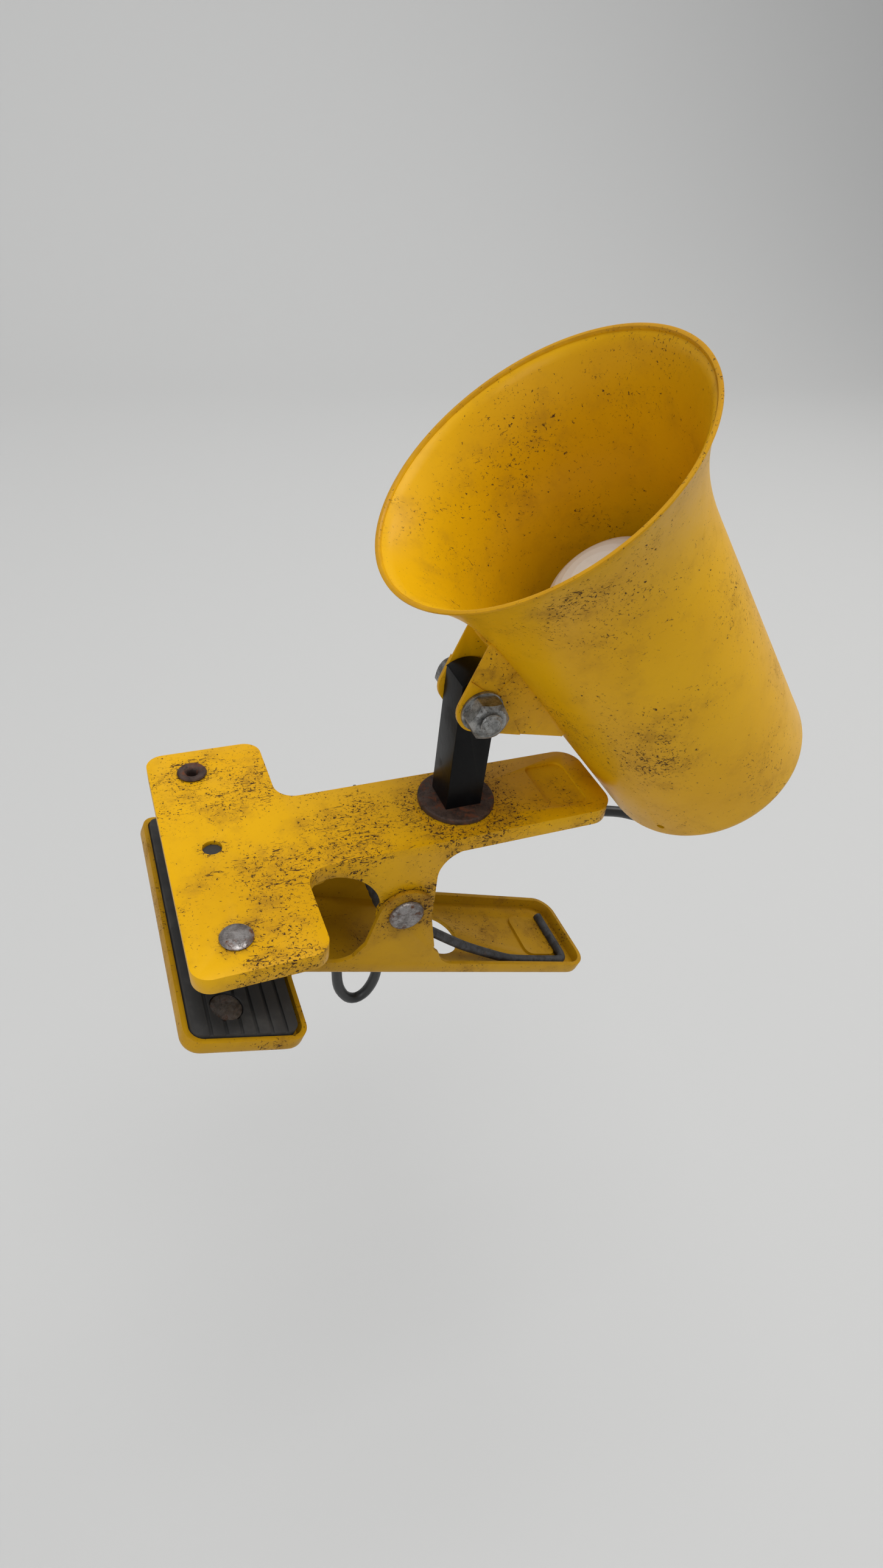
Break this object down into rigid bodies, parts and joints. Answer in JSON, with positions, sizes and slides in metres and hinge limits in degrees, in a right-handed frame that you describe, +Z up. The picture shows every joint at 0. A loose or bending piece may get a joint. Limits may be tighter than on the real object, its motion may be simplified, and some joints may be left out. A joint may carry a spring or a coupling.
{
  "type": "clip-on spot lamp",
  "caption": "Clip-on spot lamp: sprung clamp with T-shaped padded jaws, swivelling square post, and a trumpet-mouthed shade on a tilting bracket, with its flex and plug.",
  "frame": {"origin": "middle of the upper jaw pad's underside, on the table top that the clamp grips", "axes": "+X along the stem from the jaws to the thumb handles, +Y across the clamp to the side where the flex hangs, +Z up from the table top"},
  "size_m": [0.1971, 0.107, 0.2588],
  "materials": {
    "enamel": "worn semi-gloss yellow enamel with chips and scratches",
    "dark_steel": "worn dark paint on square steel",
    "bare_steel": "dull pitted zinc",
    "rusty_steel": "dark rust",
    "spring_wire": "dark matt spring wire",
    "pad_rubber": "grey-black rubber",
    "brass": "dull brass",
    "cap_metal": "rolled cap",
    "bakelite": "dark brown moulding",
    "black_plastic": "moulded black",
    "flex_skin": "black flex sheath",
    "tie_wire": "coated tie wire",
    "bulb_glass": "frosted reflector glass"
  },
  "bodies": {
    "clamp": {"upper_jaw": "enamel", "upper_pad": "pad_rubber", "tubular_rivet": "rusty_steel", "solid_rivet": "bare_steel", "pivot_rivet": "bare_steel", "spring_coil": "spring_wire", "flex_arm": "flex_skin", "flex_hank": "flex_skin", "flex_tail": "flex_skin", "flex_tie": "tie_wire", "plug_relief": "flex_skin", "plug_body": "black_plastic", "plug_pins": "brass"},
    "lower": {"lower_jaw": "enamel", "lower_pad": "pad_rubber", "lower_pad_rivets": "bare_steel", "spring_leg": "spring_wire"},
    "arm": {"arm_post": "dark_steel", "swivel_stud": "bare_steel", "swivel_washer": "rusty_steel", "under_washer": "bare_steel", "spring_washer": "bare_steel", "swivel_nut": "bare_steel", "flex_head": "flex_skin"},
    "head": {"head_bracket": "enamel", "shade": "enamel", "tilt_bolt": "bare_steel", "tilt_nut": "bare_steel", "tilt_washers": "bare_steel", "friction_washers": "rusty_steel", "holder_body": "bakelite", "holder_shell": "brass", "holder_contact": "brass", "holder_nipple": "brass", "nipple_nut": "brass", "terminal_screws": "brass", "lead_wires": "flex_skin", "switch_body": "black_plastic", "switch_nut": "bare_steel", "strain_relief": "flex_skin"},
    "bulb": {"bulb_glass": "bulb_glass", "bulb_cap": "cap_metal", "bulb_tip": "bakelite", "bulb_stem": "bulb_glass", "bulb_filament": "bare_steel"},
    "button": {"switch_button": "black_plastic"}
  },
  "joints": [
    {"name": "jaw_hinge", "type": "hinge", "parent": "clamp", "child": "lower", "pos_m": [0.046, 0, -0.0185], "axis": [0, -1, 0], "range_deg": [-12, 33], "stiffness_Nm_per_rad": 1.5, "deforming": ["spring_leg"]},
    {"name": "arm_swivel", "type": "hinge", "parent": "clamp", "child": "arm", "pos_m": [0.0652, 0, 0.0064], "axis": [0, 0, 1], "range_deg": [-95, 95], "deforming": ["flex_arm"]},
    {"name": "head_tilt", "type": "hinge", "parent": "arm", "child": "head", "pos_m": [0.0652, 0, 0.0438], "axis": [0, -1, 0], "range_deg": [0, 95], "deforming": ["flex_head"]},
    {"name": "bulb_unscrew", "type": "slide", "parent": "head", "child": "bulb", "axis": [-0.6401, 0, 0.7683], "range_m": [0, 0.018]},
    {"name": "switch_press", "type": "slide", "parent": "head", "child": "button", "axis": [-0.6401, 0, 0.7683], "range_m": [0, 0.002], "stiffness_N_per_m": 300}
  ]
}
